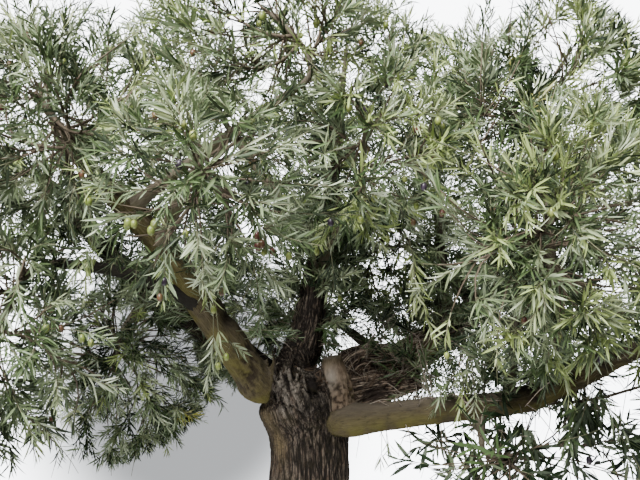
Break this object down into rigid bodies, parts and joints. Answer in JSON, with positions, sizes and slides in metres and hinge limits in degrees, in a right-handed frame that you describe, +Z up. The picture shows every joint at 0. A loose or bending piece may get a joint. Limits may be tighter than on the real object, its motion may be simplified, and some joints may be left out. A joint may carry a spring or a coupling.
{
  "type": "potted olive tree",
  "caption": "Mature olive tree with a short thick trunk, spreading pruned boughs and a broad silvery crown, standing in a plain round terracotta pot.",
  "frame": {"origin": "centre of the pot's flat underside, on the surface that it stands on", "axes": "+Z up; -Y faces the viewer of the front view, +X to the viewer's right"},
  "size_m": [2.8903, 2.0539, 2.4981],
  "materials": {
    "terracotta": "matt unglazed fired clay with pale lime bloom and a slightly uneven surface",
    "soil": "loose dark potting soil with small crumbs and bits of bark",
    "trunk_bark": "rough grey-brown bark, fissured lengthwise, with reddish-brown patches",
    "rough_bark": "dark brown scaly bark",
    "smooth_bark": "smoother ochre and olive-grey bark with fine lengthwise lines, yellow-green underneath",
    "cut_wood": "weathered, pitted, pale tan old pruning wood",
    "foliage": "narrow leathery leaves, grey-green above and silvery beneath, on thin grey twigs, with small olives"
  },
  "bodies": {
    "root": {"pot": "terracotta", "soil": "soil", "trunk": "trunk_bark", "leader": "rough_bark", "bough_left": "smooth_bark", "bough_rear_left": "rough_bark", "bough_right": "smooth_bark", "bough_rear_right": "rough_bark", "burr": "rough_bark", "pruned_stub": "cut_wood", "sawn_stub": "cut_wood", "branch_left_low": "smooth_bark", "branch_front": "smooth_bark", "branch_top_front": "smooth_bark", "branch_far_left_low": "smooth_bark", "branch_rear_left": "smooth_bark", "branch_left_top": "smooth_bark", "branch_rear": "smooth_bark", "branch_top_left": "smooth_bark", "branch_inner_right": "smooth_bark", "branch_centre_front": "smooth_bark", "branch_right_front": "smooth_bark", "branch_right_top": "smooth_bark", "branch_right_under": "smooth_bark", "branch_rear_right_top": "smooth_bark", "branch_rear_right": "smooth_bark", "branch_rear_low": "smooth_bark", "foliage_left_front": "foliage", "foliage_left_hanging": "foliage", "foliage_front": "foliage", "foliage_top_front": "foliage", "foliage_centre_front": "foliage", "foliage_far_left": "foliage", "foliage_far_left_hanging": "foliage", "foliage_rear_left": "foliage", "foliage_left_top": "foliage", "foliage_rear": "foliage", "foliage_top_left": "foliage", "foliage_inner_right": "foliage", "foliage_top": "foliage", "foliage_right_end": "foliage", "foliage_right_front": "foliage", "foliage_right_top": "foliage", "foliage_right_hanging": "foliage", "foliage_rear_right_end": "foliage", "foliage_rear_right_top": "foliage", "foliage_rear_right": "foliage", "foliage_rear_hanging": "foliage"}
  },
  "joints": []
}
